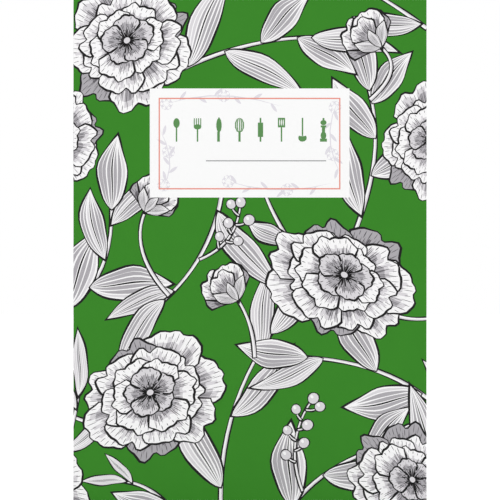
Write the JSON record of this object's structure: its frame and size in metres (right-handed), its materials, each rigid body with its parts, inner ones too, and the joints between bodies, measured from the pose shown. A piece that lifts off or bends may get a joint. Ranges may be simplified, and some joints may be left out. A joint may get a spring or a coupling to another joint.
{
  "type": "recipe book",
  "caption": "Softcover recipe book, glued at the spine, with a step-cut alphabet index down the fore edge. Covers and page sections turn on hinges at the spine.",
  "frame": {"origin": "middle of the tail, which the book stands on", "axes": "+X from the spine to the fore edge, +Y from the front cover to the back cover, +Z from the tail to the head"},
  "size_m": [0.148, 0.0126, 0.21],
  "materials": {
    "cover_card": "printed card, matt laminated",
    "leaves": "uncoated printed paper",
    "hot_melt_glue": "smooth set glue"
  },
  "bodies": {
    "ab_section": {"leaves_ab": "leaves", "glue_ab": "hot_melt_glue", "spine_ab": "cover_card"},
    "cd_section": {"leaves_cd": "leaves", "glue_cd": "hot_melt_glue", "spine_cd": "cover_card"},
    "ef_section": {"leaves_ef": "leaves", "glue_ef": "hot_melt_glue", "spine_ef": "cover_card"},
    "gh_section": {"leaves_gh": "leaves", "glue_gh": "hot_melt_glue", "spine_gh": "cover_card"},
    "ij_section": {"leaves_ij": "leaves", "glue_ij": "hot_melt_glue", "spine_ij": "cover_card"},
    "kl_section": {"leaves_kl": "leaves", "glue_kl": "hot_melt_glue", "spine_kl": "cover_card"},
    "mn_section": {"leaves_mn": "leaves", "glue_mn": "hot_melt_glue", "spine_mn": "cover_card"},
    "op_section": {"leaves_op": "leaves", "glue_op": "hot_melt_glue", "spine_op": "cover_card"},
    "qr_section": {"leaves_qr": "leaves", "glue_qr": "hot_melt_glue", "spine_qr": "cover_card"},
    "st_section": {"leaves_st": "leaves", "glue_st": "hot_melt_glue", "spine_st": "cover_card"},
    "uv_section": {"leaves_uv": "leaves", "glue_uv": "hot_melt_glue", "spine_uv": "cover_card"},
    "wx_section": {"leaves_wx": "leaves", "glue_wx": "hot_melt_glue", "spine_wx": "cover_card"},
    "yz_section": {"leaves_yz": "leaves", "glue_yz": "hot_melt_glue", "spine_yz": "cover_card"},
    "front_cover": {"front_cover": "cover_card"},
    "back_cover": {"back_cover": "cover_card"}
  },
  "joints": [
    {"name": "back_cover_hinge", "type": "hinge", "parent": "yz_section", "child": "back_cover", "pos_m": [-0.074, 0.00628, 0.105], "axis": [0, 0, 1], "range_deg": [0, 165]},
    {"name": "fan_wx", "type": "hinge", "parent": "yz_section", "child": "wx_section", "pos_m": [-0.074, 0.00506, 0.105], "axis": [0, 0, 1], "range_deg": [-5, 0]},
    {"name": "fan_uv", "type": "hinge", "parent": "wx_section", "child": "uv_section", "pos_m": [-0.074, 0.00414, 0.105], "axis": [0, 0, 1], "range_deg": [-5, 0]},
    {"name": "fan_st", "type": "hinge", "parent": "uv_section", "child": "st_section", "pos_m": [-0.074, 0.00322, 0.105], "axis": [0, 0, 1], "range_deg": [-5, 0]},
    {"name": "fan_qr", "type": "hinge", "parent": "st_section", "child": "qr_section", "pos_m": [-0.074, 0.0023, 0.105], "axis": [0, 0, 1], "range_deg": [-5, 0]},
    {"name": "fan_op", "type": "hinge", "parent": "qr_section", "child": "op_section", "pos_m": [-0.074, 0.00138, 0.105], "axis": [0, 0, 1], "range_deg": [-5, 0]},
    {"name": "fan_mn", "type": "hinge", "parent": "op_section", "child": "mn_section", "pos_m": [-0.074, 0.00046, 0.105], "axis": [0, 0, 1], "range_deg": [-5, 0]},
    {"name": "open_at_middle", "type": "hinge", "parent": "mn_section", "child": "kl_section", "pos_m": [-0.074, -0.00046, 0.105], "axis": [0, 0, 1], "range_deg": [-110, 0]},
    {"name": "fan_ij", "type": "hinge", "parent": "kl_section", "child": "ij_section", "pos_m": [-0.074, -0.00138, 0.105], "axis": [0, 0, 1], "range_deg": [-5, 0]},
    {"name": "fan_gh", "type": "hinge", "parent": "ij_section", "child": "gh_section", "pos_m": [-0.074, -0.0023, 0.105], "axis": [0, 0, 1], "range_deg": [-5, 0]},
    {"name": "fan_ef", "type": "hinge", "parent": "gh_section", "child": "ef_section", "pos_m": [-0.074, -0.00322, 0.105], "axis": [0, 0, 1], "range_deg": [-5, 0]},
    {"name": "fan_cd", "type": "hinge", "parent": "ef_section", "child": "cd_section", "pos_m": [-0.074, -0.00414, 0.105], "axis": [0, 0, 1], "range_deg": [-5, 0]},
    {"name": "fan_ab", "type": "hinge", "parent": "cd_section", "child": "ab_section", "pos_m": [-0.074, -0.00506, 0.105], "axis": [0, 0, 1], "range_deg": [-5, 0]},
    {"name": "front_cover_hinge", "type": "hinge", "parent": "ab_section", "child": "front_cover", "pos_m": [-0.074, -0.00628, 0.105], "axis": [0, 0, 1], "range_deg": [-165, 0]}
  ],
  "couplings": [
    {"joint": "fan_uv", "follows": "fan_wx", "ratio": 1},
    {"joint": "fan_st", "follows": "fan_wx", "ratio": 1},
    {"joint": "fan_qr", "follows": "fan_wx", "ratio": 1},
    {"joint": "fan_op", "follows": "fan_wx", "ratio": 1},
    {"joint": "fan_mn", "follows": "fan_wx", "ratio": 1},
    {"joint": "fan_gh", "follows": "fan_ij", "ratio": 1},
    {"joint": "fan_ef", "follows": "fan_ij", "ratio": 1},
    {"joint": "fan_cd", "follows": "fan_ij", "ratio": 1},
    {"joint": "fan_ab", "follows": "fan_ij", "ratio": 1}
  ]
}
